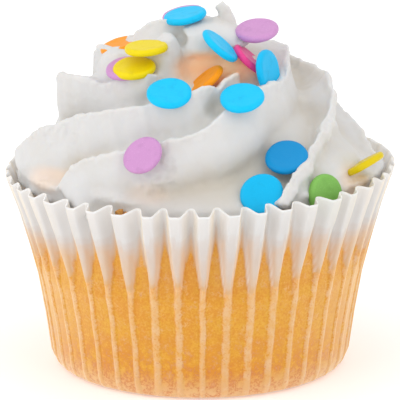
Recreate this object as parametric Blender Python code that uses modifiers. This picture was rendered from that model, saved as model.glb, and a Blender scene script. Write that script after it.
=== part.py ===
"""A mini cupcake: a pleated paper baking case, a sponge cake and one twisted swirl of piped icing.

Metres, +Z up. The origin is the centre of the flat base that the cupcake stands on, and the front is -Y.
"""

import math

import bmesh
import bpy

MM = 0.001
GAP = 0.3 * MM  # clearance kept between neighbouring pieces

# The paper case: a flat floor, a tight corner and a wall that opens faster above its waist.
PAPER = 0.25 * MM
PLEATS = 43
CASE_HEIGHT = 25.0 * MM
RIM_RADIUS = 24.0 * MM
WAIST_HEIGHT = 11.6 * MM
WAIST_RADIUS = 20.15 * MM
FOOT_HEIGHT = 1.8 * MM
FOOT_RADIUS = 18.6 * MM
FLOOR_RADIUS = 16.8 * MM
CORNER_RADIUS = 17.9 * MM
CORNER_HEIGHT = 0.4 * MM
PLEAT_DEPTH_CORNER = 0.35 * MM
PLEAT_DEPTH_FOOT = 0.55 * MM
PLEAT_DEPTH_WAIST = 0.85 * MM
PLEAT_DEPTH_RIM = 2.4 * MM
RIM_SCALLOP = 0.35 * MM  # how far the outer folds dip below the inner ones at the rim
RIM_TILT = 0.65 * MM  # the rim stands this much higher at +X, and lower at -X
OUTER_FOLD_FOOT = 0.10  # half of an outer fold's flat, as a share of a pleat
OUTER_FOLD_RIM = 0.20
INNER_FOLD_FOOT = 0.30
INNER_FOLD_RIM = 0.11

# The sponge: it fills the case up to a shoulder under the rim and has a low domed top.
SPONGE_FLOOR = PAPER + GAP
SPONGE_SEGMENTS = 48
SHOULDER_HEIGHT = 21.7 * MM
DOME_EDGE_RADIUS = 18.6 * MM
DOME_EDGE_HEIGHT = 23.3 * MM
DOME_HEIGHT = 25.4 * MM
DOME_STEPS = 5
SPONGE_FIT = 0.05 * MM  # extra clearance for the flats of the folds

# The icing: one swirl of seven fins that lean back against its twist and turn anticlockwise as they rise.
FIN_AZIMUTHS = (190.0, 228.0, 303.0, 350.0, 40.0, 90.0, 140.0)  # degrees at the widest level
FIN_COLUMNS = (-0.5, -0.32, -0.15, -0.04, 0.04, 0.12, 0.22, 0.32, 0.42)  # places across a fin's pitch
CREST_HALF = 0.04  # half of a crest's flat, as a share of the pitch
FIN_BACK = 3.4  # how hollow a fin is on the side that it leans to
FIN_FACE = 1.7  # and on its broad face
FIN_LEAN = 8.0  # degrees
SWIRL_TOP = 44.8 * MM
SWIRL_LEVELS = 22
LEVEL_CROWDING = 1.35  # levels lie closer together towards the tip, where the fins turn fastest
UNDERSIDE_RADII = (9.0 * MM, 15.5 * MM)
# Height, crest radius and trough radius of the swirl, in millimetres, from its lower edge to its tip.
SWIRL_STATIONS = (
    (23.3, 20.2, 19.7),
    (24.8, 20.5, 18.7),
    (25.9, 21.1, 17.6),
    (26.9, 23.2, 16.8),
    (29.3, 20.6, 14.8),
    (32.5, 17.9, 13.3),
    (35.8, 17.0, 11.9),
    (38.5, 12.9, 9.4),
    (41.0, 10.0, 7.4),
    (43.0, 6.6, 4.8),
    (44.3, 2.8, 2.2),
)
# Height in millimetres and the turn of the fins in degrees.
TWIST_STATIONS = (
    (23.3, -13.0),
    (27.0, 0.0),
    (33.0, 34.0),
    (35.5, 50.0),
    (37.7, 76.0),
    (39.1, 104.0),
    (41.0, 136.0),
    (44.3, 175.0),
)


def clear_scene():
    for old in list(bpy.data.objects):
        bpy.data.objects.remove(old, do_unlink=True)


def smooth_between(stations, at, column=1):
    """The value at a place along stations, on a cubic whose slopes never overshoot."""
    places = [station[0] for station in stations]
    values = [station[column] for station in stations]
    if at <= places[0]:
        return values[0]
    if at >= places[-1]:
        return values[-1]
    last = len(places) - 1
    rises = [(values[i + 1] - values[i]) / (places[i + 1] - places[i]) for i in range(last)]
    slopes = [rises[0]]
    for before, after in zip(rises, rises[1:]):
        slopes.append(0.0 if before * after <= 0.0 else 2.0 * before * after / (before + after))
    slopes.append(rises[-1])
    i = max(n for n in range(last) if places[n] <= at)
    span = places[i + 1] - places[i]
    t = (at - places[i]) / span
    start = values[i] * (1 + 2 * t) * (1 - t) ** 2 + slopes[i] * span * t * (1 - t) ** 2
    end = values[i + 1] * t * t * (3 - 2 * t) + slopes[i + 1] * span * t * t * (t - 1)
    return start + end


def principled(name, colour, roughness):
    material = bpy.data.materials.new(name)
    material.use_nodes = True
    shader = material.node_tree.nodes["Principled BSDF"]
    shader.inputs["Base Color"].default_value = (*colour, 1.0)
    shader.inputs["Roughness"].default_value = roughness
    shader.inputs["Metallic"].default_value = 0.0
    material.diffuse_color = (*colour, 1.0)
    return material


def add_object(name, bm, material, collection):
    bmesh.ops.recalc_face_normals(bm, faces=bm.faces)
    mesh = bpy.data.meshes.new(name)
    bm.to_mesh(mesh)
    bm.free()
    mesh.materials.append(material)
    obj = bpy.data.objects.new(name, mesh)
    collection.objects.link(obj)
    return obj


def on_circle(radius, angle, height):
    return (radius * math.cos(angle), radius * math.sin(angle), height)


def loft(bm, rings):
    """Joins rings of equally many points with four-sided faces, and gives back their vertices."""
    made = [[bm.verts.new(point) for point in ring] for ring in rings]
    for lower, upper in zip(made, made[1:]):
        for i in range(len(lower)):
            j = (i + 1) % len(lower)
            bm.faces.new((lower[i], lower[j], upper[j], upper[i]))
    return made


def close_with_fan(bm, ring, centre):
    middle = bm.verts.new(centre)
    for i in range(len(ring)):
        bm.faces.new((ring[i], ring[(i + 1) % len(ring)], middle))


# Height, radius of the outer folds and depth of the pleats, from the floor's edge to the rim.
WALL_STATIONS = (
    (0.0, FLOOR_RADIUS, 0.0),
    (CORNER_HEIGHT, CORNER_RADIUS, PLEAT_DEPTH_CORNER),
    (FOOT_HEIGHT, FOOT_RADIUS, PLEAT_DEPTH_FOOT),
    (WAIST_HEIGHT, WAIST_RADIUS, PLEAT_DEPTH_WAIST),
    (CASE_HEIGHT, RIM_RADIUS, PLEAT_DEPTH_RIM),
)


def outer_radius(height):
    return smooth_between(WALL_STATIONS, height, column=1)


def pleat_depth(height):
    return smooth_between(WALL_STATIONS, height, column=2)


def fold_share(height, foot, rim):
    """The flat of a fold, which widens or narrows towards the rim only above the waist."""
    rise = max(0.0, (height - WAIST_HEIGHT) / (CASE_HEIGHT - WAIST_HEIGHT))
    return foot + (rim - foot) * rise


def pleated_ring(height):
    """One level of the case: each pleat has the two corners of its outer and of its inner fold."""
    outside = outer_radius(height)
    inside = outside - pleat_depth(height)
    outer_half = fold_share(height, OUTER_FOLD_FOOT, OUTER_FOLD_RIM)
    inner_half = fold_share(height, INNER_FOLD_FOOT, INNER_FOLD_RIM)
    dip = RIM_SCALLOP if height == CASE_HEIGHT else 0.0
    tilt = RIM_TILT * (height / CASE_HEIGHT) ** 2
    ring = []
    for pleat in range(PLEATS):
        corners = (
            (-outer_half, outside, height - dip),
            (outer_half, outside, height - dip),
            (0.5 - inner_half, inside, height),
            (0.5 + inner_half, inside, height),
        )
        for share, radius, level in corners:
            angle = math.tau * (pleat + share) / PLEATS
            ring.append(on_circle(radius, angle, level + tilt * math.cos(angle)))
    return ring


def make_paper_case(collection):
    bm = bmesh.new()
    upper_levels = (0.3, 0.65)
    heights = [station[0] for station in WALL_STATIONS[:-1]]
    heights += [WAIST_HEIGHT + share * (CASE_HEIGHT - WAIST_HEIGHT) for share in upper_levels]
    heights.append(CASE_HEIGHT)
    rings = loft(bm, [pleated_ring(height) for height in heights])
    close_with_fan(bm, rings[0], (0.0, 0.0, 0.0))
    paper = principled("greaseproof_paper", (0.82, 0.74, 0.66), 0.55)
    case = add_object("paper_case", bm, paper, collection)
    wall = case.modifiers.new("paper thickness", "SOLIDIFY")
    wall.thickness = PAPER
    wall.offset = -1.0
    return case


def sponge_radius(height):
    return outer_radius(height) - pleat_depth(height) - PAPER - GAP - SPONGE_FIT


def dome_height(radius):
    """The top of the sponge, a shallow parabola inside its edge."""
    share = min(1.0, radius / DOME_EDGE_RADIUS)
    return DOME_HEIGHT + (DOME_EDGE_HEIGHT - DOME_HEIGHT) * share**2


def sponge_profile():
    """Half of the sponge's outline, down from the middle of its top to the middle of its floor."""
    points = []
    for step in range(DOME_STEPS + 1):
        radius = DOME_EDGE_RADIUS * step / DOME_STEPS
        points.append((radius, dome_height(radius)))
    side = sponge_radius(SHOULDER_HEIGHT)
    for quarter in (0.4, 0.75):
        turn = quarter * math.pi / 2
        points.append(
            (
                DOME_EDGE_RADIUS + (side - DOME_EDGE_RADIUS) * math.sin(turn),
                SHOULDER_HEIGHT + (DOME_EDGE_HEIGHT - SHOULDER_HEIGHT) * math.cos(turn),
            )
        )
    for height in (SHOULDER_HEIGHT, 0.5 * (SHOULDER_HEIGHT + WAIST_HEIGHT), WAIST_HEIGHT, FOOT_HEIGHT):
        points.append((sponge_radius(height), height))
    points.append((FLOOR_RADIUS - GAP, SPONGE_FLOOR))
    points.append((0.0, SPONGE_FLOOR))
    return points


def make_sponge(collection):
    bm = bmesh.new()
    corners = [bm.verts.new((radius, 0.0, height)) for radius, height in sponge_profile()]
    for upper, lower in zip(corners, corners[1:]):
        bm.edges.new((upper, lower))
    cake = principled("sponge_cake", (0.80, 0.42, 0.08), 0.85)
    sponge = add_object("sponge", bm, cake, collection)
    turned = sponge.modifiers.new("turned", "SCREW")
    turned.steps = SPONGE_SEGMENTS
    turned.render_steps = SPONGE_SEGMENTS
    turned.use_merge_vertices = True
    turned.merge_threshold = 0.01 * MM
    return sponge


def fin_rise(share):
    """How far out a fin stands at a place across its pitch: 1 on its crest, 0 in the trough."""
    away = max(0.0, abs(share) - CREST_HALF) / (0.5 - CREST_HALF)
    return (1.0 - away) ** (FIN_BACK if share < 0.0 else FIN_FACE)


def swirl_ring(height_mm):
    """One level of the swirl. Each fin's columns run half-way to its neighbours on both sides."""
    height = height_mm * MM
    crest = smooth_between(SWIRL_STATIONS, height_mm, column=1) * MM
    trough = smooth_between(SWIRL_STATIONS, height_mm, column=2) * MM
    twist = smooth_between(TWIST_STATIONS, height_mm)
    count = len(FIN_AZIMUTHS)
    ring = []
    for fin, azimuth in enumerate(FIN_AZIMUTHS):
        before = (azimuth - FIN_AZIMUTHS[fin - 1]) % 360.0
        after = (FIN_AZIMUTHS[(fin + 1) % count] - azimuth) % 360.0
        for share in FIN_COLUMNS:
            pitch = before if share < 0.0 else after
            rise = fin_rise(share)
            angle = math.radians(azimuth + twist + share * pitch - FIN_LEAN * rise)
            ring.append(on_circle(trough + (crest - trough) * rise, angle, height))
    return ring


def underside_ring(radius):
    """One ring of the icing's underside, which follows the sponge's top."""
    height = dome_height(radius) + GAP + SPONGE_FIT
    columns = len(FIN_AZIMUTHS) * len(FIN_COLUMNS)
    start = math.radians(FIN_AZIMUTHS[0] + FIN_COLUMNS[0] * 50.0 + TWIST_STATIONS[0][1])
    return [on_circle(radius, start + math.tau * i / columns, height) for i in range(columns)]


def make_frosting(collection):
    bm = bmesh.new()
    low, high = SWIRL_STATIONS[0][0], SWIRL_STATIONS[-1][0]
    shares = [1.0 - (1.0 - level / SWIRL_LEVELS) ** LEVEL_CROWDING for level in range(SWIRL_LEVELS + 1)]
    heights = [low + (high - low) * share for share in shares]
    rings = [underside_ring(radius) for radius in UNDERSIDE_RADII]
    rings += [swirl_ring(height) for height in heights]
    made = loft(bm, rings)
    close_with_fan(bm, made[0], (0.0, 0.0, DOME_HEIGHT + GAP + SPONGE_FIT))
    close_with_fan(bm, made[-1], (0.0, 0.0, SWIRL_TOP))
    icing = principled("white_icing", (0.88, 0.87, 0.84), 0.42)
    return add_object("frosting", bm, icing, collection)


def main():
    clear_scene()
    collection = bpy.data.collections.new("cupcake")
    bpy.context.scene.collection.children.link(collection)
    pieces = (make_paper_case(collection), make_sponge(collection), make_frosting(collection))
    for piece in pieces:
        piece.data.shade_smooth()
        piece.data.set_sharp_from_angle(angle=math.radians(50.0))


main()
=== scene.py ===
"""Looks of a mini cupcake: its pleated paper case, its sponge, its piped icing and its sprinkles.

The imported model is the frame. Every piece stands where the frame's boxes say, in metres, with +Z up and -Y
the front.
"""

import logging
import math
from collections.abc import Sequence
from dataclasses import dataclass
from enum import Enum

import bmesh
import bpy
import numpy as np
from mathutils import Matrix, Vector, noise
from mathutils.bvhtree import BVHTree


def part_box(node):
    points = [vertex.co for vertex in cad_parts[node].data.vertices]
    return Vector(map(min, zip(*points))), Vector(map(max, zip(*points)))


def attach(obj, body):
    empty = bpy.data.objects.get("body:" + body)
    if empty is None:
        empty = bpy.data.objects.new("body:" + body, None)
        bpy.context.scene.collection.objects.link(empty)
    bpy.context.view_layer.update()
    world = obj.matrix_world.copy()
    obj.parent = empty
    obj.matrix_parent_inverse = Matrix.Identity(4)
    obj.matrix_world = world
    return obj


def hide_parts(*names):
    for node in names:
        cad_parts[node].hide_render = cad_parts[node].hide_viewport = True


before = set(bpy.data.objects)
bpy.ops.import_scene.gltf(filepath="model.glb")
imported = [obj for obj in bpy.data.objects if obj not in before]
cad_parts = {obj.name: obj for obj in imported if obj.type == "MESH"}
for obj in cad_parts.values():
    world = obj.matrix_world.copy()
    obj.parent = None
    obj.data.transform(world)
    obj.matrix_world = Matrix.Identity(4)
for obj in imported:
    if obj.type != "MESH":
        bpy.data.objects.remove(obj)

MM = 0.001
log = logging.getLogger("cupcake")

Colour = tuple[float, float, float]
Place = tuple[float, float, float]
Body = tuple[np.ndarray, list[tuple[int, ...]]]  # the points and the faces of one surface


# ---------------------------------------------------------------- shapes


def smoothstep(low: float, high: float, value: np.ndarray) -> np.ndarray:
    """Rises from 0 at low to 1 at high without a corner."""
    t = np.clip((value - low) / (high - low), 0.0, 1.0)
    return t * t * (3.0 - 2.0 * t)


def smooth_curve(points: Sequence[Sequence[float]], count: int) -> np.ndarray:
    """Samples a Catmull-Rom curve through points.

    Args:
        points: The points that the curve passes through, in order.
        count: How many samples to take, evenly along the curve's parameter.

    Returns:
        One row for each sample.
    """
    given = np.asarray(points, float)
    padded = np.vstack([2 * given[0] - given[1], given, 2 * given[-1] - given[-2]])
    places = np.linspace(0.0, len(given) - 1.0, count)
    start = np.minimum(places.astype(int), len(given) - 2)
    t = (places - start)[:, None]
    before, here, after, beyond = (padded[start + step] for step in range(4))
    return 0.5 * (
        2 * here
        + (after - before) * t
        + (2 * before - 5 * here + 4 * after - beyond) * t**2
        + (3 * here - before - 3 * after + beyond) * t**3
    )


def softened(rows: np.ndarray, reach: int) -> np.ndarray:
    """Averages each row with its neighbours, out to about twice reach on each side.

    Args:
        rows: The rows, in order.
        reach: How many rows away a neighbour still counts for about half.

    Returns:
        The averaged rows.
    """
    span = 3 * reach
    weights = np.exp(-0.5 * (np.arange(-span, span + 1) / reach) ** 2)
    padded = np.pad(rows, ((span, span), (0, 0)), mode="reflect")
    weights /= weights.sum()
    columns = [np.convolve(padded[:, axis], weights, mode="valid") for axis in range(rows.shape[1])]
    return np.stack(columns, axis=1)


def cylindrical(places: np.ndarray) -> np.ndarray:
    """Turns rows of azimuth in degrees, radius and height into rows of X, Y and Z.

    Args:
        places: The rows, or one row.

    Returns:
        As many rows, in the unit of the radius and the height.
    """
    angle = np.radians(places[..., 0])
    radius = places[..., 1]
    return np.stack([radius * np.cos(angle), radius * np.sin(angle), places[..., 2]], axis=-1)


def noise_at(points: np.ndarray, grain: float, seed: float = 0.0, octaves: int = 1) -> np.ndarray:
    """Smooth noise from -1 to 1 at each point.

    Args:
        points: Rows of X, Y and Z in metres.
        grain: The size of the noise's largest features, in metres.
        seed: An offset that gives another field of the same kind.
        octaves: How many halvings of the grain are added.

    Returns:
        One value for each point.
    """
    offset = Vector((seed, 1.7 * seed, -0.6 * seed))
    scale = 1.0 / grain
    if octaves == 1:
        values = [noise.noise(Vector(point) * scale + offset) for point in points]
    else:
        values = [noise.fractal(Vector(point) * scale + offset, 1.0, 2.0, octaves) for point in points]
    return np.array(values)


def mesh_from(name: str, points: np.ndarray, faces: Sequence[Sequence[int]]) -> bpy.types.Mesh:
    """Makes a smooth-shaded mesh from points in metres and faces.

    Args:
        name: The mesh's name.
        points: Rows of X, Y and Z.
        faces: The numbers of each face's points, in order round it.

    Returns:
        The mesh.
    """
    mesh = bpy.data.meshes.new(name)
    mesh.from_pydata(points.tolist(), [], faces)
    mesh.validate()
    mesh.shade_smooth()
    return mesh


def grid_faces(rows: int, columns: int) -> list[tuple[int, ...]]:
    """Four-sided faces between rows of points, each row closed on itself.

    Args:
        rows: How many rows there are.
        columns: How many points a row has.

    Returns:
        The numbers of each face's points.
    """
    faces: list[tuple[int, ...]] = []
    for row in range(rows - 1):
        for column in range(columns):
            after = (column + 1) % columns
            low, high = row * columns, (row + 1) * columns
            faces.append((low + column, low + after, high + after, high + column))
    return faces


def capped_faces(rows: int, columns: int) -> list[tuple[int, ...]]:
    """The faces of a closed tube: its rows joined, and one flat face over each end.

    Args:
        rows: How many rows there are.
        columns: How many points a row has.

    Returns:
        The numbers of each face's points.
    """
    faces = grid_faces(rows, columns)
    faces.append(tuple(range(columns))[::-1])
    faces.append(tuple((rows - 1) * columns + i for i in range(columns)))
    return faces


def fanned_faces(rows: int, columns: int) -> list[tuple[int, ...]]:
    """The faces of a closed turned body: its rows joined, and a fan over each end.

    Args:
        rows: How many rows there are.
        columns: How many points a row has.

    Returns:
        The numbers of each face's points, where the middles of the two fans follow the rows.
    """
    faces = grid_faces(rows, columns)
    bottom, last = rows * columns, (rows - 1) * columns
    for i in range(columns):
        after = (i + 1) % columns
        faces.append((after, i, bottom))
        faces.append((last + i, last + after, bottom + 1))
    return faces


def points_of(mesh: bpy.types.Mesh) -> np.ndarray:
    """The mesh's points as rows of X, Y and Z.

    Args:
        mesh: The mesh.

    Returns:
        One row for each point.
    """
    flat = np.empty(len(mesh.vertices) * 3)
    mesh.vertices.foreach_get("co", flat)
    return flat.reshape(-1, 3)


def normals_of(mesh: bpy.types.Mesh) -> np.ndarray:
    """The mesh's point normals as rows of X, Y and Z.

    Args:
        mesh: The mesh.

    Returns:
        One row for each point, of length one.
    """
    flat = np.empty(len(mesh.vertices) * 3)
    mesh.vertex_normals.foreach_get("vector", flat)
    return flat.reshape(-1, 3)


def move_points(mesh: bpy.types.Mesh, points: np.ndarray) -> None:
    """Gives the mesh's points new places."""
    mesh.vertices.foreach_set("co", points.reshape(-1))
    mesh.update()


def set_attribute(mesh: bpy.types.Mesh, name: str, values: np.ndarray) -> None:
    """Stores one number for each point under a name that a finish can read."""
    layer = mesh.attributes.new(name, "FLOAT", "POINT")
    layer.data.foreach_set("value", np.asarray(values, np.float32))


class Links:
    """The edges between a mesh's points, for spreading values over its surface."""

    def __init__(self, mesh: bpy.types.Mesh) -> None:
        """Reads the mesh's edges.

        Args:
            mesh: The mesh.
        """
        ends = np.empty(len(mesh.edges) * 2, np.int64)
        mesh.edges.foreach_get("vertices", ends)
        ends = ends.reshape(-1, 2)
        self.start = np.concatenate([ends[:, 0], ends[:, 1]])
        self.end = np.concatenate([ends[:, 1], ends[:, 0]])
        self.count = len(mesh.vertices)
        self.share = 1.0 / np.maximum(np.bincount(self.start, minlength=self.count), 1)

    def relaxed(self, values: np.ndarray, rounds: int) -> np.ndarray:
        """Averages each point's values with its neighbours', a number of times.

        Args:
            values: One row for each point.
            rounds: How many times to average.

        Returns:
            The averaged rows.
        """
        for _ in range(rounds):
            sums = [
                np.bincount(self.start, weights=values[self.end, axis], minlength=self.count)
                for axis in range(values.shape[1])
            ]
            values = 0.5 * values + 0.5 * np.stack(sums, axis=1) * self.share[:, None]
        return values


def add_piece(name: str, mesh: bpy.types.Mesh, material: bpy.types.Material) -> bpy.types.Object:
    """Puts a mesh in the scene as a piece of the cupcake.

    Args:
        name: The piece's name.
        mesh: Its mesh, in the frame's own place.
        material: Its finish.

    Returns:
        The new object, which rides on the cupcake's one body.
    """
    piece = add_object(name, mesh)
    mesh.materials.clear()
    mesh.materials.append(material)
    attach(piece, "root")
    log.info("%s: %d faces", name, len(mesh.polygons))
    return piece


def add_object(name: str, data: bpy.types.ID) -> bpy.types.Object:
    """Makes an object of a mesh, a light or a camera, and puts it in the scene.

    Args:
        name: The object's name.
        data: What it shows.

    Returns:
        The object.
    """
    made = bpy.data.objects.new(name, data)
    bpy.context.scene.collection.objects.link(made)
    return made


def after_modifiers(shape: bpy.types.Object, name: str) -> bpy.types.Mesh:
    """Makes the object's modifiers real in a new mesh, and removes the object.

    Args:
        shape: The object.
        name: The new mesh's name.

    Returns:
        The new mesh.
    """
    graph = bpy.context.evaluated_depsgraph_get()
    mesh = bpy.data.meshes.new_from_object(shape.evaluated_get(graph))
    mesh.name = name
    old = shape.data
    bpy.data.objects.remove(shape, do_unlink=True)
    bpy.data.meshes.remove(old)
    return mesh


# ---------------------------------------------------------------- finishes


class Graph:
    """Builds one material's nodes."""

    def __init__(self, name: str) -> None:
        """Starts a material that has its shader and its output.

        Args:
            name: The material's name.
        """
        self.material = bpy.data.materials.new(name)
        self.material.use_nodes = True
        self.tree = self.material.node_tree
        self.shader = self.tree.nodes["Principled BSDF"]

    def node(self, kind: str, inputs: dict | None = None, **settings: object) -> bpy.types.Node:
        """Adds a node.

        Args:
            kind: The node's type, without its ShaderNode start.
            inputs: Values or other nodes' sockets, by input name or number.
            **settings: The node's own settings.

        Returns:
            The new node.
        """
        made = self.tree.nodes.new("ShaderNode" + kind)
        for key, value in settings.items():
            setattr(made, key, value)
        for key, value in (inputs or {}).items():
            self.feed(made.inputs[key], value)
        return made

    def feed(self, socket: bpy.types.NodeSocket, value: object) -> None:
        """Links a socket to an input, or sets the input's value.

        Args:
            socket: The input.
            value: Another node's socket, a colour, or a number.
        """
        if isinstance(value, bpy.types.NodeSocket):
            self.tree.links.new(value, socket)
        elif isinstance(value, tuple) and len(value) == 3 and socket.type == "RGBA":
            socket.default_value = (*value, 1.0)
        else:
            socket.default_value = value

    def coordinates(self) -> bpy.types.NodeSocket:
        """The place of each shaded point in the piece's own metres."""
        return self.node("TexCoord").outputs["Object"]

    def stored(self, name: str) -> bpy.types.NodeSocket:
        """A number stored on the mesh's points."""
        return self.node("Attribute", attribute_name=name).outputs["Fac"]

    def clouds(
        self, grain: float, detail: float = 4.0, stretch: Place = (1.0, 1.0, 1.0)
    ) -> bpy.types.NodeSocket:
        """Noise from 0 to 1.

        Args:
            grain: The size of its features in metres.
            detail: How many finer layers it holds.
            stretch: How much finer it is along each axis.

        Returns:
            The noise's value.
        """
        mapping = self.node("Mapping", {"Vector": self.coordinates(), "Scale": stretch})
        found = self.node(
            "TexNoise", {"Vector": mapping.outputs[0], "Scale": 1.0 / grain, "Detail": detail, "Roughness": 0.6}
        )
        return found.outputs["Fac"]

    def math(self, operation: str, first: object, second: object) -> bpy.types.NodeSocket:
        """The result of a sum on two values."""
        return self.node("Math", {0: first, 1: second}, operation=operation).outputs[0]

    def times(self, first: object, second: object) -> bpy.types.NodeSocket:
        """The product of two values."""
        return self.math("MULTIPLY", first, second)

    def between(self, value: object, low: float, high: float) -> bpy.types.NodeSocket:
        """Maps a value smoothly from 0 at low to 1 at high."""
        made = self.node(
            "MapRange", {"Value": value, "From Min": low, "From Max": high}, interpolation_type="SMOOTHSTEP"
        )
        return made.outputs[0]

    def mixed(self, share: object, first: object, second: object, blend: str = "MIX") -> bpy.types.NodeSocket:
        """Mixes two colours by a share from 0 to 1.

        Args:
            share: How much of the second shows.
            first: The first colour.
            second: The second colour.
            blend: How the second is laid over the first.

        Returns:
            The mixed colour.
        """
        made = self.node("Mix", data_type="RGBA", blend_type=blend, clamp_factor=True)
        self.feed(made.inputs[0], share)
        self.feed(made.inputs[6], first)
        self.feed(made.inputs[7], second)
        return made.outputs[2]

    def bump(self, height: object, strength: float, depth: float, under: object = None) -> bpy.types.NodeSocket:
        """A surface normal that follows a height.

        Args:
            height: The height, from 0 to 1.
            strength: How much of it shows.
            depth: How far 0 to 1 reaches, in metres.
            under: A normal that this one is laid over.

        Returns:
            The normal.
        """
        made = self.node("Bump", {"Height": height, "Strength": strength, "Distance": depth})
        if under is not None:
            self.feed(made.inputs["Normal"], under)
        return made.outputs[0]

    def finish(self, **sockets: object) -> bpy.types.Material:
        """Feeds the shader's sockets, named with _ for a space, and gives back the material.

        Args:
            **sockets: What each socket gets.

        Returns:
            The material.
        """
        for name, value in sockets.items():
            self.feed(self.shader.inputs[name.replace("_", " ")], value)
        return self.material


@dataclass(frozen=True)
class IcingFinish:
    """Whipped white cream: satin, with a fine grain, a painted warm shade in its hollows and a painted peach
    glow where coloured light falls.
    """

    cream: Colour = (0.688, 0.680, 0.674)
    # painted shade: the warm grey that the hollows are darkened to, also used for the random warm patches
    warm_tone_and_shade: Colour = (0.610, 0.550, 0.460)
    # painted glow: the peach of coloured light from the cake and the sprinkles falling on the cream
    blush: Colour = (0.97, 0.63, 0.38)

    def material(self) -> bpy.types.Material:
        """Makes the cream's nodes.

        Returns:
            The material.
        """
        graph = Graph("icing_cream")
        patches = graph.between(graph.clouds(5.0 * MM, 3.0), 0.40, 0.75)
        colour = graph.mixed(graph.times(patches, 0.22), self.cream, self.warm_tone_and_shade)
        # painted shade: darker and warmer in the hollows
        colour = graph.mixed(graph.stored("hollow"), colour, self.warm_tone_and_shade)
        # painted glow: peach light from the cake and the sprinkles, laid into the colour
        colour = graph.mixed(graph.stored("blush"), colour, self.blush)
        grain = graph.clouds(0.30 * MM, 3.0)
        streaks = graph.clouds(1.0 * MM, 4.0)
        torn = graph.stored("torn")
        normal = graph.bump(grain, 0.22, 0.05 * MM)
        depth = graph.math("ADD", graph.times(torn, 0.5), 0.22)
        normal = graph.bump(streaks, depth, 0.16 * MM, normal)
        rough = graph.math("ADD", graph.times(grain, 0.15), 0.45)
        return graph.finish(
            Base_Color=colour,
            Roughness=rough,
            Normal=normal,
            Subsurface_Weight=0.3,
            Subsurface_Radius=(1.0, 0.8, 0.6),
            Subsurface_Scale=1.3 * MM,
            Specular_IOR_Level=0.3,
            # the painted glow also gives off light, though the cream is no lamp
            Emission_Color=(1.0, 0.50, 0.26, 1.0),
            Emission_Strength=graph.times(graph.stored("blush"), 0.10),
        )


@dataclass(frozen=True)
class PaperFinish:
    """Greaseproof paper: white where it stands free, see-through golden where the cake soaks it, and a painted
    highlight along its creases and its rim.

    The tints are named with the gap in millimetres between the paper and the cake that they hold at.
    """

    tints: tuple[tuple[float, Colour], ...] = (
        (0.30, (0.780, 0.430, 0.210)),
        (0.85, (0.760, 0.510, 0.350)),
        (1.50, (0.725, 0.570, 0.475)),
        (2.10, (0.705, 0.640, 0.600)),
        (2.50, (0.735, 0.710, 0.690)),
    )
    golden: Colour = (0.860, 0.362, 0.026)
    amber: Colour = (0.800, 0.265, 0.022)
    straw: Colour = (0.920, 0.440, 0.060)
    toast: Colour = (0.700, 0.160, 0.026)
    peach: Colour = (0.900, 0.460, 0.190)
    pale_peach: Colour = (0.930, 0.540, 0.280)
    # painted highlight: the whiter colour laid along the creases and the rim's edge
    edge: Colour = (0.93, 0.925, 0.92)

    def material(self) -> bpy.types.Material:
        """Makes the paper's nodes from how far it stands off the cake.

        Returns:
            The material.
        """
        graph = Graph("baking_paper")
        height = graph.node("SeparateXYZ", {0: graph.coordinates()}).outputs[2]
        mottle = graph.clouds(1.1 * MM, 6.0)
        blots = graph.clouds(3.2 * MM, 4.0, (1.0, 1.0, 1.4))
        specks = graph.clouds(0.28 * MM, 5.0)
        cake = graph.times(graph.between(blots, 0.38, 0.66), 0.6)
        cake = graph.mixed(cake, self.golden, self.amber)
        cake = graph.mixed(graph.times(graph.between(specks, 0.50, 0.64), 0.6), cake, self.straw)
        cake = graph.mixed(graph.times(graph.between(specks, 0.48, 0.38), 0.75), cake, self.amber)
        low = graph.between(height, 10.0 * MM, 2.5 * MM)
        foot = graph.times(graph.between(height, 4.0 * MM, 0.6 * MM), 0.75)
        cake = graph.mixed(foot, cake, self.pale_peach)
        toasted = graph.times(graph.between(specks, 0.42, 0.56), graph.between(mottle, 0.42, 0.55))
        toasted = graph.times(graph.times(toasted, low), 0.8)
        cake = graph.mixed(toasted, cake, self.toast)
        fold = graph.mixed(graph.between(mottle, 0.42, 0.62), self.peach, self.pale_peach)
        worn = graph.times(graph.math("SUBTRACT", specks, 0.5), 2.6)
        worn = graph.math("ADD", graph.stored("fold"), worn)
        worn = graph.math("ADD", worn, graph.times(graph.math("SUBTRACT", mottle, 0.5), 2.4))
        cake = graph.mixed(graph.times(graph.between(worn, 0.05, 1.0), 0.82), cake, fold)
        browned = graph.times(graph.between(specks, 0.56, 0.66), graph.between(mottle, 0.46, 0.56))
        cake = graph.mixed(graph.times(browned, 0.55), cake, self.toast)
        uneven = graph.times(graph.math("SUBTRACT", mottle, 0.5), 0.5)
        gap = graph.math("ADD", graph.stored("gap"), uneven)
        colour = cake
        last = 0.08
        for place, tint in self.tints:
            colour = graph.mixed(graph.between(gap, last, place), colour, tint)
            last = place
        # painted highlight along the creases and the rim's edge
        colour = graph.mixed(graph.stored("crease"), colour, self.edge)
        fibres = graph.clouds(0.5 * MM, 4.0, (1.0, 1.0, 0.35))
        normal = graph.bump(fibres, 0.25, 0.05 * MM)
        return graph.finish(
            Base_Color=colour,
            Roughness=0.48,
            Normal=normal,
            Subsurface_Weight=0.5,
            Subsurface_Radius=(1.0, 0.9, 0.8),
            Subsurface_Scale=0.7 * MM,
            Specular_IOR_Level=0.22,
            Sheen_Weight=1.0,
            Sheen_Roughness=0.45,
            Sheen_Tint=(1.0, 0.86, 0.64, 1.0),
        )


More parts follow.
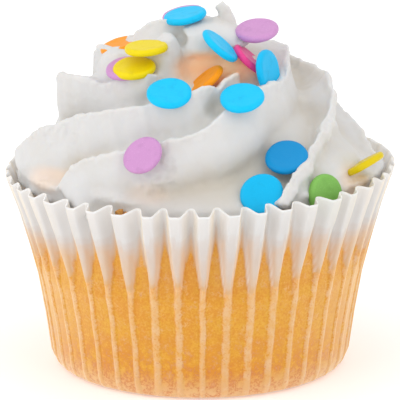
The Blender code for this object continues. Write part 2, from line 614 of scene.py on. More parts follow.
@dataclass(frozen=True)
class SpongeFinish:
    """Yellow crumb under a browned top."""

    crumb: Colour = (0.82, 0.50, 0.13)
    crust: Colour = (0.36, 0.12, 0.025)
    tan: Colour = (0.62, 0.30, 0.08)

    def material(self) -> bpy.types.Material:
        """Makes the sponge's nodes, browned where the mesh says.

        Returns:
            The material.
        """
        graph = Graph("sponge_crumb")
        pores = graph.clouds(0.9 * MM, 6.0)
        patches = graph.between(graph.clouds(3.0 * MM, 3.0), 0.35, 0.65)
        crust = graph.mixed(patches, self.crust, self.tan)
        colour = graph.mixed(graph.stored("browned"), self.crumb, crust)
        colour = graph.mixed(graph.times(graph.between(pores, 0.6, 0.4), 0.3), colour, self.tan)
        normal = graph.bump(pores, 0.6, 0.3 * MM)
        return graph.finish(Base_Color=colour, Roughness=0.85, Normal=normal, Specular_IOR_Level=0.2)


@dataclass(frozen=True)
class SugarFinish:
    """Pressed sugar: one strong colour, slightly dusty, with fine grains and a dull shine."""

    name: str
    colour: Colour
    dust: Colour

    def material(self) -> bpy.types.Material:
        """Makes the sugar's nodes.

        Returns:
            The material.
        """
        graph = Graph("sugar_" + self.name)
        grains = graph.clouds(0.16 * MM, 3.0)
        patches = graph.clouds(1.2 * MM, 3.0)
        dusty = graph.times(graph.between(grains, 0.55, 0.8), 0.5)
        colour = graph.mixed(dusty, self.colour, self.dust)
        shade = tuple(0.8 * channel for channel in self.colour)
        colour = graph.mixed(graph.times(graph.between(patches, 0.5, 0.75), 0.5), colour, shade)
        shaded = tuple(0.68 * channel**1.7 for channel in self.colour)
        colour = graph.mixed(graph.stored("deep"), colour, shaded)
        normal = graph.bump(grains, 0.35, 0.05 * MM)
        normal = graph.bump(patches, 0.3, 0.12 * MM, normal)
        rough = graph.math("ADD", graph.times(patches, 0.2), 0.28)
        return graph.finish(Base_Color=colour, Roughness=rough, Normal=normal, Specular_IOR_Level=0.22)


class Sugar(Enum):
    """The colours that the sprinkles come in."""

    BLUE = SugarFinish("blue", (0.0, 0.54, 0.90), (0.03, 0.64, 0.95))
    PURPLE = SugarFinish("purple", (0.60, 0.29, 0.57), (0.80, 0.52, 0.76))
    YELLOW = SugarFinish("yellow", (0.84, 0.66, 0.0), (0.88, 0.74, 0.08))
    ORANGE = SugarFinish("orange", (0.95, 0.32, 0.0), (0.96, 0.42, 0.05))
    PINK = SugarFinish("pink", (0.86, 0.06, 0.28), (0.92, 0.22, 0.42))
    GREEN = SugarFinish("green", (0.22, 0.50, 0.10), (0.40, 0.68, 0.24))


# ---------------------------------------------------------------- paper case


@dataclass
class PaperCase:
    """The pleated baking case, from its flat floor to its fluted rim."""

    rim_radius: float
    height: float
    pleats: int = 43
    first_pleat: float = math.radians(270.9)  # the azimuth of one outer fold
    paper: float = 0.1 * MM
    tip_height: float = 14.5 * MM  # below it the outer folds are pressed flat and soaked
    stripe_half: float = 0.17  # half of the share of a pleat that a pressed fold takes
    opening: float = 47.0  # how much that half grows for each metre above the tip
    side_drop: float = 2.2 * MM  # how much lower the cake's shoulder lies at the two sides
    pointed: float = 1.5 * MM  # how much further the cake reaches up along the middle of an inner fold
    rim_tilt: float = 0.65 * MM
    scallop: float = 0.45 * MM
    shut_sides: float = 0.86  # how much shallower the pleats are at the two sides of the rim
    columns: int = 20  # points across one pleat
    rows: int = 84

    @classmethod
    def from_frame(cls) -> "PaperCase":
        """Takes the rim's size from the frame's own case."""
        low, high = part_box("paper_case")
        return cls(rim_radius=(high.x - low.x) / 2, height=high.z - cls.rim_tilt)

    def outer_radius(self, height: np.ndarray) -> np.ndarray:
        """How far out the outer folds stand at a height.

        Args:
            height: Heights in metres.

        Returns:
            One radius in metres for each height.
        """
        heights = np.array([0.0, 0.15, 0.4, 0.9, 1.8, 6.5, 11.6, 15.5, 20.0, 25.0]) * MM
        radii = np.array([16.8, 17.45, 17.9, 18.25, 18.6, 19.25, 20.15, 21.15, 22.45, 24.0]) * MM
        share = self.rim_radius / (24.0 * MM)
        return np.interp(height, heights, radii) * share

    def pleat_depth(self, height: np.ndarray) -> np.ndarray:
        """How deep the pleats are at a height.

        Args:
            height: Heights in metres.

        Returns:
            One depth in metres for each height.
        """
        heights = np.array([0.0, 0.4, 1.8, 12.6, 16.0, 20.0, 25.0]) * MM
        depths = np.array([0.0, 0.12, 0.2, 0.25, 1.1, 1.75, 2.4]) * MM
        return np.interp(height, heights, depths)

    def pleat_half(self, height: np.ndarray) -> np.ndarray:
        """Half of the share of a pleat that stands clear of the cake at a height."""
        return np.clip(self.stripe_half + self.opening * (height - self.tip_height), self.stripe_half, 0.5)

    def cake_gap(self, height: np.ndarray) -> np.ndarray:
        """How far the cake's shoulder has fallen away from the inner folds at a height."""
        heights = np.array([19.2, 20.3, 21.4, 22.5, 23.6]) * MM
        return np.interp(height, heights, np.array([0.0, 0.3, 1.0, 1.9, 2.5]) * MM)

    def build(self) -> bpy.types.Mesh:
        """Makes the case's mesh, with what its finish needs to know at each point.

        Returns:
            The mesh, still without thickness.
        """
        count = self.pleats * self.columns
        column = np.arange(count)
        share = (column % self.columns) / self.columns - 0.5
        pleat = column // self.columns
        inner = (pleat + (share > 0.0)) % self.pleats  # the inner fold that a point lies next to
        random = np.random.default_rng(7)
        sway = random.uniform(-0.12, 0.12, self.pleats)
        inner_sway = random.uniform(-0.09, 0.09, self.pleats)
        pinch = random.uniform(0.0, 1.0, self.pleats)
        depth_change = random.uniform(0.85, 1.1, self.pleats)
        tip_change = random.uniform(-1.0, 1.0, self.pleats) * 0.8 * MM
        free_change = random.uniform(-1.0, 1.0, self.pleats) * 0.7 * MM
        rim_change = random.uniform(-1.0, 1.0, self.pleats) * 0.14 * MM
        stripe_change = random.uniform(0.75, 1.2, self.pleats)
        crisp = random.uniform(0.5, 1.5, self.pleats)
        clear = random.uniform(0.7, 1.3, self.pleats)
        outer_share = np.cos(math.pi * share) ** 2
        azimuth = self.first_pleat + math.tau * (pleat + share) / self.pleats
        foot = 1.8 * MM  # below it the wall turns in to the floor, and the rows lie closer
        rise = np.concatenate([np.linspace(0.0, foot, 10)[:-1], np.linspace(foot, self.height, self.rows - 9)])
        points, gaps, folds, crease_highlights = [], [], [], []
        for height in rise:
            level = np.full(count, height)
            tall = height / self.height
            shut = 1.0 - self.shut_sides * np.abs(np.cos(azimuth)) ** 1.5 * tall**2
            depth = self.pleat_depth(level) * shut
            depth *= 1.0 + (depth_change[inner] - 1.0) * tall * (1.0 - outer_share)
            half = self.pleat_half(level - tip_change[pleat])
            half = np.where(half <= self.stripe_half + 1e-6, half * stripe_change[pleat], half)
            across = np.clip(np.abs(share) / half, 0.0, 1.0)
            pinched = smoothstep(0.26 + 0.14 * pinch[inner], 0.90, across)
            open_top = smoothstep(15.0 * MM, 23.5 * MM, level)
            inward = across**2.5 * (1.0 - open_top) + pinched * open_top
            radius = self.outer_radius(level) - depth * inward
            lean = (sway[pleat] * outer_share + inner_sway[inner] * (1.0 - outer_share)) * tall**3
            wave = 0.02 * np.sin(height / MM * 0.9 + 2.4 * pleat)
            wave = wave * smoothstep(1.0 * MM, 5.0 * MM, level) * (1.0 - open_top)
            angle = self.first_pleat + math.tau * (pleat + share + lean + wave * outer_share) / self.pleats
            tilt = self.rim_tilt * tall**2 * np.cos(angle)
            top = smoothstep(20.0 * MM, 25.0 * MM, level)
            lift = -self.scallop * top * (1.0 - inward) + rim_change[inner] * top * inward
            ring = [radius * np.cos(angle), radius * np.sin(angle), level + tilt + lift]
            points.append(np.stack(ring, axis=1))
            above_tip = level - self.tip_height - tip_change[pleat]
            apart = depth * clear[pleat] * (1.0 - inward)
            apart *= smoothstep(-0.8 * MM, 1.8 * MM, above_tip)
            shoulder = level - free_change[inner] + self.side_drop * np.abs(np.cos(angle)) ** 1.5
            shoulder += self.pointed * (1.0 - smoothstep(0.34, 0.5, np.abs(share)))
            gaps.append(np.maximum(apart, self.cake_gap(shoulder)) / MM)
            folds.append((1.0 - across**4) * (1.0 - smoothstep(0.0, 1.0 * MM, above_tip)))
            # painted highlight: a bright line just off each fold, stronger on the fold's left side, and a
            # whiter band at the rim's edge
            bright = np.where(share < 0.0, 1.0, 0.45) * crisp[inner]
            lit = np.exp(-(((across - 0.80) / 0.12) ** 2)) * smoothstep(13.0 * MM, 16.0 * MM, level) * bright
            near_rim = smoothstep(self.height - 0.35 * MM, self.height, level)
            crease_highlights.append(np.clip(np.maximum(0.45 * lit, 0.8 * near_rim), 0.0, 1.0))
        points = np.concatenate(points)
        faces = grid_faces(len(rise), count)
        inner_ring, floor_faces = self.floor(points[:count], len(points))
        points = np.vstack([points, inner_ring, [[0.0, 0.0, 0.0]]])
        faces += floor_faces
        mesh = mesh_from("paper_wall", points, faces)
        spare = np.zeros(len(points) - len(rise) * count)
        set_attribute(mesh, "gap", np.concatenate([*gaps, spare]))
        set_attribute(mesh, "fold", np.concatenate([*folds, spare]))
        set_attribute(mesh, "crease", np.concatenate([*crease_highlights, spare]))
        return mesh

    def floor(self, edge: np.ndarray, start: int) -> Body:
        """Closes the case below with a ring inside its edge and a fan to its centre.

        Args:
            edge: The points of the floor's edge.
            start: The number that the inner ring's first point gets.

        Returns:
            The inner ring's points, and the faces.
        """
        count = len(edge)
        inner = edge * np.array([0.5, 0.5, 0.0])
        faces: list[tuple[int, ...]] = []
        for i in range(count):
            after = (i + 1) % count
            faces.append((start + i, start + after, after, i))
            faces.append((start + count, start + after, start + i))
        return inner, faces

    def dress(self) -> bpy.types.Object:
        """Gives the case its thickness and its finish, and puts it in the scene.

        Returns:
            The finished case.
        """
        shape = add_object("paper_shape", self.build())
        wall = shape.modifiers.new("paper", "SOLIDIFY")
        wall.thickness = self.paper
        wall.offset = -1.0
        mesh = after_modifiers(shape, "baking_paper_case")
        piece = add_piece("baking_paper_case", mesh, PaperFinish().material())
        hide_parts("paper_case")
        return piece


# ---------------------------------------------------------------- sponge


@dataclass
class Sponge:
    """The cake in the case: a turned body with a rounded shoulder and a low, uneven, browned top."""

    radius: float
    low: float
    top: float
    shoulder_height: float = 21.7 * MM
    dome_edge: float = 18.6 * MM
    dome_edge_height: float = 23.3 * MM
    columns: int = 220

    @classmethod
    def from_frame(cls) -> "Sponge":
        """Takes the sponge's size from the frame."""
        low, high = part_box("sponge")
        return cls(radius=(high.x - low.x) / 2, low=low.z, top=high.z)

    def outline(self) -> np.ndarray:
        """Half of the sponge's section, from the middle of its floor to the middle of its top.

        Returns:
            Rows of radius and height in metres.
        """
        foot, waist = 17.7 * MM, 19.0 * MM
        side = [(0.0, self.low), (9.0 * MM, self.low), (16.2 * MM, self.low), (foot, 1.9 * MM)]
        side += [(18.2 * MM, 6.0 * MM), (waist, 11.6 * MM), (19.7 * MM, 16.5 * MM)]
        side.append((self.radius, self.shoulder_height))
        turn = np.linspace(0.0, math.pi / 2, 8)[1:]
        for angle in turn:
            reach = self.dome_edge + (self.radius - self.dome_edge) * math.cos(angle)
            rise = self.shoulder_height + (self.dome_edge_height - self.shoulder_height) * math.sin(angle)
            side.append((reach, rise))
        for share in np.linspace(1.0, 0.0, 12)[1:]:
            rise = self.top + (self.dome_edge_height - self.top) * share**2
            side.append((self.dome_edge * share, rise))
        return np.array(side)

    def dress(self) -> bpy.types.Object:
        """Turns the outline, roughens the crust and browns the top.

        Returns:
            The finished sponge.
        """
        outline = self.outline()
        steps = np.concatenate([[0.0], np.cumsum(np.hypot(*np.diff(outline, axis=0).T))])
        dense = np.linspace(0.0, steps[-1], 90)
        radii, heights = (np.interp(dense, steps, outline[:, axis]) for axis in (0, 1))
        angles = np.linspace(0.0, math.tau, self.columns, endpoint=False)
        rings = [
            np.stack([radius * np.cos(angles), radius * np.sin(angles), np.full(self.columns, height)], axis=1)
            for radius, height in zip(radii[1:-1], heights[1:-1])
        ]
        points = np.vstack([*rings, [[0.0, 0.0, heights[0]]], [[0.0, 0.0, heights[-1]]]])
        mesh = mesh_from("sponge_cake", points, fanned_faces(len(rings), self.columns))
        above = smoothstep(self.shoulder_height - 0.6 * MM, self.shoulder_height + 0.9 * MM, points[:, 2])
        bumps = noise_at(points, 1.6 * MM, 3.0, 3)
        move_points(mesh, points + normals_of(mesh) * (0.12 * MM * bumps * (0.4 + above))[:, None])
        set_attribute(mesh, "browned", above)
        piece = add_piece("sponge_cake", mesh, SpongeFinish().material())
        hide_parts("sponge")
        return piece


@dataclass
class Crumbs:
    """Loose bits of browned crust caught between the icing and the rim."""

    places: tuple[Place, ...] = (
        (243.5, 21.3, 23.75), (245.5, 21.1, 23.6), (209.0, 21.2, 24.0), (207.5, 21.1, 23.6),
        (300.5, 21.2, 23.9),
    )
    sizes: tuple[float, ...] = (0.52, 0.36, 0.40, 0.26, 0.24)

    def dress(self) -> bpy.types.Object:
        """Makes every crumb and joins them as one piece.

        Returns:
            The finished crumbs.
        """
        bm = bmesh.new()
        for number, (place, size) in enumerate(zip(self.places, self.sizes)):
            crumb = bmesh.ops.create_icosphere(bm, subdivisions=3, radius=1.0)["verts"]
            middle = Vector(cylindrical(np.array(place)))
            for vertex in crumb:
                swell = 1.0 + 0.45 * noise.noise(vertex.co * 1.7 + Vector((5.0 * number, 0.0, 0.0)))
                vertex.co = (middle + vertex.co * size * swell) * MM
        mesh = bpy.data.meshes.new("crust_crumbs")
        bm.to_mesh(mesh)
        bm.free()
        mesh.polygons.foreach_set("use_smooth", [True] * len(mesh.polygons))
        set_attribute(mesh, "browned", np.ones(len(mesh.vertices)))
        return add_piece("crust_crumbs", mesh, SpongeFinish().material())


# ---------------------------------------------------------------- icing


Profile = tuple[tuple[float, float], ...]
PLAIN_FACE: Profile = ((0.1, 0.9), (0.15, 2.0), (0.0, 3.3), (-0.4, 4.7), (-1.3, 5.9), (-3.4, 6.6), (-6.5, 6.6))
START_FACE: Profile = ((0.15, 0.8), (0.2, 1.7), (0.05, 2.7), (-0.4, 3.7), (-1.3, 4.5), (-3.2, 4.9), (-6.0, 4.9))
PLAIN_BACK: Profile = ((-0.7, -0.05), (-1.6, 0.25), (-3.0, 0.9), (-4.6, 1.7), (-6.5, 2.6))


@dataclass(frozen=True)
class Fin:
    """One fin of the swirl.

    Its crest passes through places given as azimuth in degrees, radius and height in millimetres. Its section
    is given as steps outward and steps to the side that faces down and round, in millimetres from the crest.
    Where it has more than one face, each is named with the azimuth that it holds at.
    """

    crest: tuple[Place, ...]
    faces: tuple[tuple[float, Profile], ...] = ((0.0, PLAIN_FACE),)
    back: Profile = PLAIN_BACK
    sizes: tuple[float, ...] = (1.0,)  # how large its section is, evenly along it
    edge: float = 0.45  # the radius of its crest, in millimetres
    ragged: float = 0.35  # how torn its crest is
    taper: tuple[float, float] = (0.05, 0.12)  # the shares of its length over which its ends close
    seed: float = 0.0


@dataclass(frozen=True)
class Lump:
    """A rounded lump of cream, with its middle and half-sizes in millimetres and its turns in degrees."""

    middle: Place
    half: Place
    turn: Place = (0.0, 0.0, 0.0)
    uneven: float = 0.12
    seed: float = 0.0


@dataclass(frozen=True)
class Swell:
    """A place where the swirl's core stands further out: where, how far it reaches, and by how much."""

    azimuth: float
    height: float
    round_about: float
    up: float
    amount: float


@dataclass
class Icing:
    """The swirl: a core, seven fins that turn round it, a curled cap and a pulled tail, in one skin."""

    top: float
    fins: tuple[Fin, ...]
    lumps: tuple[Lump, ...]
    scraps: tuple[Lump, ...]  # small torn bits that stand on the finished surface
    swells: tuple[Swell, ...]
    glows: tuple[Lump, ...]  # where coloured light warms the cream; here uneven is how strongly
    rags: tuple[Lump, ...]  # where the surface is torn; here uneven is how strongly
    voxel: float = 0.22 * MM
    shelter_rays: int = 5
    fillet: float = 0.55 * MM  # how far the creases between its bodies are filled
    steps: int = 150

    @classmethod
    def from_frame(cls) -> "Icing":
        """Takes the swirl's height from the frame and names its fins.

        Returns:
            The swirl.
        """
        _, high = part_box("frosting")
        left = Fin(
            (
                (187, 20.4, 25.8), (188.5, 22.4, 26.5), (190.5, 22.8, 27.6), (194, 21.8, 29.2),
                (199, 20.5, 30.7),
                (206, 19.2, 31.9), (216, 17.7, 33.5), (232, 16.4, 34.8), (246, 15.6, 35.7), (260, 14.7, 36.8),
                (270, 13.8, 37.5), (276, 13.0, 37.6), (281, 12.3, 37.1), (286, 11.4, 37.9), (297, 10.5, 38.6),
                (308, 9.2, 38.5),
            ),
            ragged=0.55,
            faces=(
                (
                    190.0,
                    ((0.2, 0.8), (0.2, 1.7), (0.0, 2.6), (-0.5, 3.4), (-1.3, 4.0), (-3.0, 4.3), (-6.0, 4.3)),
                ),
                (
                    197.0,
                    ((0.2, 1.1), (0.3, 2.5), (0.2, 3.9), (-0.2, 5.2), (-0.9, 6.3), (-2.4, 7.0), (-6.0, 7.1)),
                ),
                (
                    208.0,
                    ((0.1, 1.1), (0.2, 2.6), (0.2, 4.2), (-0.1, 5.8), (-0.8, 7.2), (-2.4, 8.1), (-6.0, 8.3)),
                ),
                (
                    232.0,
                    ((0.1, 1.0), (0.15, 2.2), (0.2, 3.5), (0.15, 4.9), (-0.1, 6.3), (-1.4, 7.5), (-6.0, 7.8)),
                ),
            ),
            seed=1.0,
        )
        front = Fin(
            (
                (217, 20.6, 24.2), (219, 21.6, 25.6), (221, 21.2, 27.3), (226, 20.5, 28.8), (238, 19.6, 30.4),
                (256, 18.3, 32.1), (270, 17.3, 33.1), (279, 16.2, 34.8), (291, 14.8, 36.6), (306, 13.6, 37.3),
                (322, 12.7, 37.3), (332, 12.0, 38.3), (342, 11.3, 38.9), (352, 10.9, 39.2), (362, 10.5, 39.4),
                (372, 9.9, 39.5), (386, 8.6, 39.4), (403, 7.2, 39.5), (425, 6.0, 39.8),
            ),
            faces=(
                (
                    222.0,
                    (
                        (0.2, 1.0), (0.4, 2.2), (0.4, 3.6), (0.3, 5.0),
                        (0.0, 6.3), (-0.6, 7.5), (-2.2, 8.5), (-6.5, 8.8),
                    ),
                ),
                (
                    236.0,
                    (
                        (0.2, 1.0), (0.4, 2.2), (0.4, 3.6), (0.2, 5.0),
                        (-0.3, 6.3), (-1.1, 7.4), (-3.0, 8.2), (-6.5, 8.4),
                    ),
                ),
                (
                    246.0,
                    (
                        (0.15, 1.0), (0.4, 2.2), (0.6, 3.4), (0.6, 4.6),
                        (0.3, 5.8), (-0.6, 6.9), (-3.2, 7.4), (-6.5, 7.3),
                    ),
                ),
                (
                    272.0,
                    (
                        (0.2, 1.0), (0.45, 2.2), (0.5, 3.4), (0.3, 4.6),
                        (-0.2, 5.8), (-1.2, 6.9), (-3.8, 7.6), (-7.0, 7.6),
                    ),
                ),
                (
                    292.0,
                    (
                        (0.3, 1.2), (0.6, 2.8), (0.7, 4.6), (0.3, 6.4),
                        (-0.7, 8.0), (-2.2, 9.6), (-4.2, 10.6), (-7.0, 11.0),
                    ),
                ),
                (
                    325.0,
                    (
                        (0.3, 1.2), (0.8, 2.8), (1.1, 4.8), (1.0, 6.8),
                        (0.4, 8.6), (-1.2, 10.2), (-4.0, 11.2), (-7.0, 11.6),
                    ),
                ),
                (
                    350.0,
                    (
                        (0.2, 1.0), (0.3, 2.2), (0.1, 3.4), (-0.5, 4.5),
                        (-1.5, 5.4), (-2.8, 5.9), (-4.5, 6.0), (-7.0, 5.6),
                    ),
                ),
            ),
            back=((-0.7, -0.05), (-1.7, 0.25), (-3.2, 0.95), (-5.0, 1.8), (-7.0, 2.8)),
            taper=(0.05, 0.05),
            seed=2.0,
        )
        right = Fin(
            (
                (295, 20.6, 23.9), (297, 21.9, 25.6), (302, 21.0, 27.2), (306, 20.3, 27.9), (311, 19.6, 28.8),
                (316, 18.9, 29.8), (320, 18.4, 30.7), (325, 18.0, 31.7), (330, 17.8, 32.7), (334, 17.5, 33.8),
                (337, 17.0, 35.1), (344, 16.1, 36.0), (352, 15.1, 36.2), (361, 14.1, 36.1), (371, 12.8, 36.5),
                (383, 11.7, 37.0), (400, 10.4, 37.8), (425, 8.8, 38.8), (450, 7.4, 39.8),
            ),
            faces=(
                (306.0, ((-0.3, 1.3), (-0.7, 2.2), (-0.7, 3.2), (-1.1, 4.2), (-2.2, 5.0), (-4.6, 5.6))),
                (322.0, ((-0.3, 1.2), (-0.7, 2.2), (-0.6, 3.4), (-0.6, 4.8), (-1.4, 5.9), (-4.6, 6.8))),
                (338.0, ((-0.3, 1.2), (-0.7, 2.2), (-0.4, 3.4), (-0.2, 4.8), (-0.6, 6.2), (-4.4, 7.4))),
                (380.0, ((0.2, 0.8), (0.2, 1.7), (-0.1, 2.7), (-0.8, 3.7), (-2.2, 4.8), (-4.6, 5.6))),
            ),
            back=((-0.4, 0.1), (-1.2, 0.5), (-2.4, 1.1), (-4.0, 2.0), (-5.5, 3.0)),
            edge=1.3,
            ragged=0.9,
            seed=3.0,
        )
        far_right = Fin(
            (
                (346, 20.6, 25.2), (348, 21.9, 26.4), (350, 21.5, 27.3), (353, 20.3, 28.8), (359, 18.8, 30.3),
                (366, 17.5, 31.2), (378, 16.3, 32.6), (394, 15.9, 34.5), (415, 15.0, 36.2), (438, 13.4, 37.3),
                (462, 11.6, 38.4), (490, 9.4, 39.4), (515, 7.0, 40.0),
            ),
            faces=((350.0, START_FACE), (364.0, PLAIN_FACE)),
            back=((-0.7, -0.35), (-1.6, -0.7), (-3.0, -0.9), (-4.6, -0.7), (-6.5, 0.4)),
            seed=4.0,
        )
        back_right = Fin(
            (
                (36, 20.8, 25.2), (39, 22.8, 26.6), (44, 21.8, 28.4), (52, 19.8, 30.6), (64, 18.3, 32.6),
                (80, 17.0, 34.4), (98, 15.4, 36.2), (118, 13.4, 37.8), (138, 11.4, 39.0), (156, 10.0, 39.7),
                (170, 9.2, 40.1), (180, 8.4, 40.9), (188, 7.1, 42.1), (197, 5.7, 43.0), (208, 4.7, 43.4),
                (224, 3.6, 43.3), (250, 2.6, 43.0), (285, 2.2, 42.6),
            ),
            faces=((40.0, START_FACE), (54.0, PLAIN_FACE)),
            ragged=0.45,
            taper=(0.05, 0.03),
            seed=5.0,
        )
        back = Fin(
            (
                (86, 20.8, 25.2), (89, 22.8, 26.6), (94, 21.9, 28.3), (102, 19.9, 30.5), (114, 18.4, 32.4),
                (130, 16.9, 34.3), (146, 15.1, 36.2), (160, 13.8, 37.4), (170, 12.8, 38.3), (177, 12.2, 39.3),
                (184, 11.2, 39.4), (193, 9.8, 39.5), (206, 8.6, 39.3),
            ),
            faces=((90.0, START_FACE), (104.0, PLAIN_FACE)),
            edge=0.7,
            ragged=0.25,
            seed=6.0,
        )
        back_left = Fin(
            (
                (134, 20.8, 25.2), (138, 22.8, 26.6), (144, 21.2, 28.4), (152, 19.0, 30.4), (162, 17.5, 32.2),
                (171, 17.3, 34.0), (179, 17.4, 36.0), (190, 16.2, 36.7), (200, 14.9, 36.8), (211, 13.4, 36.5),
                (220, 12.8, 37.5), (229, 12.4, 38.2), (238, 11.7, 38.6), (245, 10.4, 38.3),
            ),
            faces=((138.0, START_FACE), (152.0, PLAIN_FACE)),
            sizes=(1.0, 1.0, 1.0, 1.0, 1.0, 1.0, 0.9, 0.6, 0.36),
            taper=(0.05, 0.04),
            seed=7.0,
        )
        lumps = (
            Lump((0.9, -1.4, 40.3), (4.0, 3.4, 2.6), (14.0, 6.0, 0.0), 0.1, 1.0),
            Lump((-4.4, -5.2, 39.0), (2.1, 2.6, 3.4), (0.0, 12.0, 0.0), 0.1, 13.0),
            Lump((-4.6, -6.0, 37.2), (2.6, 2.2, 2.2), (0.0, 0.0, 0.0), 0.1, 15.0),
            Lump((-6.0, -5.2, 38.5), (2.7, 2.1, 1.9), (0.0, 0.0, 0.0), 0.1, 16.0),
            Lump((5.4, -4.9, 37.5), (3.0, 2.4, 2.3), (0.0, 0.0, 0.0), 0.1, 14.0),
            Lump((0.5, 2.2, 39.2), (5.0, 3.6, 3.8), seed=3.0),
            Lump((-6.2, -2.8, 37.1), (3.6, 4.8, 2.7), (12.0, -14.0, 0.0), seed=4.0),
            Lump((-9.5, -2.0, 37.3), (3.2, 3.4, 2.7), seed=5.0),
            Lump((1.0, -3.4, 38.2), (4.8, 2.4, 2.8), (0.0, 0.0, 0.0), 0.08, 9.0),
        )
        scraps = (
            Lump((14.9, -10.3, 31.3), (1.0, 1.2, 0.9), (0.0, 20.0, 0.0), 0.35, 11.0),
            Lump((15.4, -9.6, 32.3), (0.9, 1.1, 0.7), (0.0, -30.0, 0.0), 0.35, 12.0),
        )
        rags = (
            Lump((-5.2, -19.4, 28.7), (2.8, 3.6, 4.2), (0.0, 0.0, 0.0), 1.0),
            Lump((-18.0, -8.0, 31.5), (6.0, 5.0, 2.6), (0.0, 0.0, 0.0), 0.6),
        )
        swells = (
            Swell(204, 24.9, 13, 1.4, 1.6),
            Swell(233, 25.4, 10, 2.6, 2.4),
            Swell(301, 24.8, 8, 1.6, 1.8),
            Swell(320, 27.6, 11, 3.0, 2.2),
            Swell(342, 27.2, 15, 3.8, 3.8),
        )
        # painted glow: where peach light from the cake and the sprinkles is painted onto the cream
        glows = (
            Lump((2.2, -6.2, 38.2), (5.6, 4.4, 2.4), uneven=1.0),
            Lump((-17.6, -9.8, 25.5), (5.0, 3.2, 1.6), uneven=0.3),
            Lump((-6.4, -19.2, 26.0), (3.0, 2.4, 1.4), uneven=0.14),
            Lump((18.6, -10.6, 25.4), (3.4, 3.0, 2.2), uneven=0.3),
        )
        fins = (left, front, right, far_right, back_right, back, back_left)
        return cls(high.z, fins, lumps, scraps, swells, glows, rags)

    def core_radius(self, height: np.ndarray) -> np.ndarray:
        """How far out the bottom of the troughs lies at a height in millimetres.

        Args:
            height: Heights in millimetres.

        Returns:
            One radius in millimetres for each height.
        """
        heights = (22.0, 23.2, 24.4, 25.5, 27.0, 29.3, 32.5, 35.8, 36.9, 37.3)
        radii = (20.8, 20.9, 20.4, 18.9, 16.5, 14.7, 13.0, 11.0, 9.0, 1.0)
        return np.interp(height, heights, radii)

    def core(self) -> Body:
        """The body that the fins stand on, closed below along the sponge's top.

        Returns:
            The points in metres and the faces of one closed body.
        """
        columns = 180
        angles = np.linspace(0.0, math.tau, columns, endpoint=False)
        levels = np.linspace(22.0, 37.3, 60)
        outline = [(9.0, 25.2), (15.0, 24.2), (19.0, 22.6)]
        outline += list(zip(self.core_radius(levels), levels))
        rings = []
        for radius, height in outline:
            reach = np.full(columns, radius)
            for swell in self.swells:
                away = (np.degrees(angles) - swell.azimuth + 180.0) % 360.0 - 180.0
                off = (away / swell.round_about) ** 2 + ((height - swell.height) / swell.up) ** 2
                reach = reach + swell.amount * np.exp(-0.5 * off) * (height > 24.6)
            spread = 1.9 * np.cos(angles) ** 4 * float(smoothstep(22.4, 23.6, height))
            reach = np.minimum(reach, max(radius, 20.9)) + spread * (height < 25.4)
            ring = [reach * np.cos(angles), reach * np.sin(angles), np.full(columns, height)]
            rings.append(np.stack(ring, axis=1))
        points = np.vstack([*rings, [[0.0, 0.0, 25.9]], [[0.0, 0.0, 37.35]]]) * MM
        return points, fanned_faces(len(rings), columns)

    def section(self, fin: Fin, face: Profile) -> np.ndarray:
        """The fin's closed section, as rows of outward and sideways steps, starting at the end of its face.

        Args:
            fin: The fin.
            face: One of its faces.

        Returns:
            The rows in millimetres.
        """
        turns = np.radians((60, 20, -20, -60))
        crest = [(0.55 * fin.edge * math.cos(turn), fin.edge * math.sin(turn)) for turn in turns]
        return np.array([*face[::-1], *crest, *fin.back])

    def sections(self, fin: Fin, azimuths: np.ndarray) -> np.ndarray:
        """The fin's section at each azimuth of its crest, blended from the faces that it has.

        Args:
            fin: The fin.
            azimuths: The azimuths in degrees.

        Returns:
            One section for each azimuth.
        """
        marks = np.array([mark for mark, _ in fin.faces])
        shapes = np.array([self.section(fin, face) for _, face in fin.faces])
        if len(marks) == 1:
            return np.repeat(shapes, len(azimuths), axis=0)
        place = np.interp(azimuths, marks, np.arange(len(marks)))
        low = np.minimum(place.astype(int), len(marks) - 2)
        share = smoothstep(0.0, 1.0, place - low)[:, None, None]
        return shapes[low] * (1.0 - share) + shapes[low + 1] * share

    def blade(self, fin: Fin) -> Body:
        """Sweeps one fin's section along its crest.

        Args:
            fin: The fin to make.

        Returns:
            The points in metres and the faces of one closed body.
        """
        places = smooth_curve(fin.crest, self.steps)
        along = np.linspace(0.0, 1.0, self.steps)
        crest = cylindrical(places)
        path = softened(np.gradient(crest, axis=0), self.steps // 22)
        path /= np.linalg.norm(path, axis=1)[:, None]
        radial = crest * np.array([1.0, 1.0, 0.0])
        radial /= np.linalg.norm(radial, axis=1)[:, None]
        outward = radial - path * np.sum(radial * path, axis=1)[:, None]
        outward /= np.linalg.norm(outward, axis=1)[:, None]
        side = np.cross(path, outward)
        torn = noise_at(crest, 2.4, fin.seed) * 0.5 + noise_at(crest, 0.8, fin.seed + 9.0) * 0.6
        crest = crest + outward * (fin.ragged * torn)[:, None]
        ends = np.clip(np.minimum(along / fin.taper[0], (1.0 - along) / fin.taper[1]), 0.0, 1.0)
        ends = np.sqrt(1.0 - (1.0 - ends) ** 2)[:, None]
        size = np.interp(along, np.linspace(0.0, 1.0, len(fin.sizes)), fin.sizes)[:, None]
        sections = self.sections(fin, places[:, 0])
        middle = np.array([-3.0, 2.0]) * size
        steps_out = middle[:, :1] + (sections[:, :, 0] * size - middle[:, :1]) * ends
        steps_side = middle[:, 1:] + (sections[:, :, 1] * size - middle[:, 1:]) * ends
        rings = crest[:, None] + outward[:, None] * steps_out[:, :, None]
        rings = rings + side[:, None] * steps_side[:, :, None]
        return rings.reshape(-1, 3) * MM, capped_faces(self.steps, rings.shape[1])

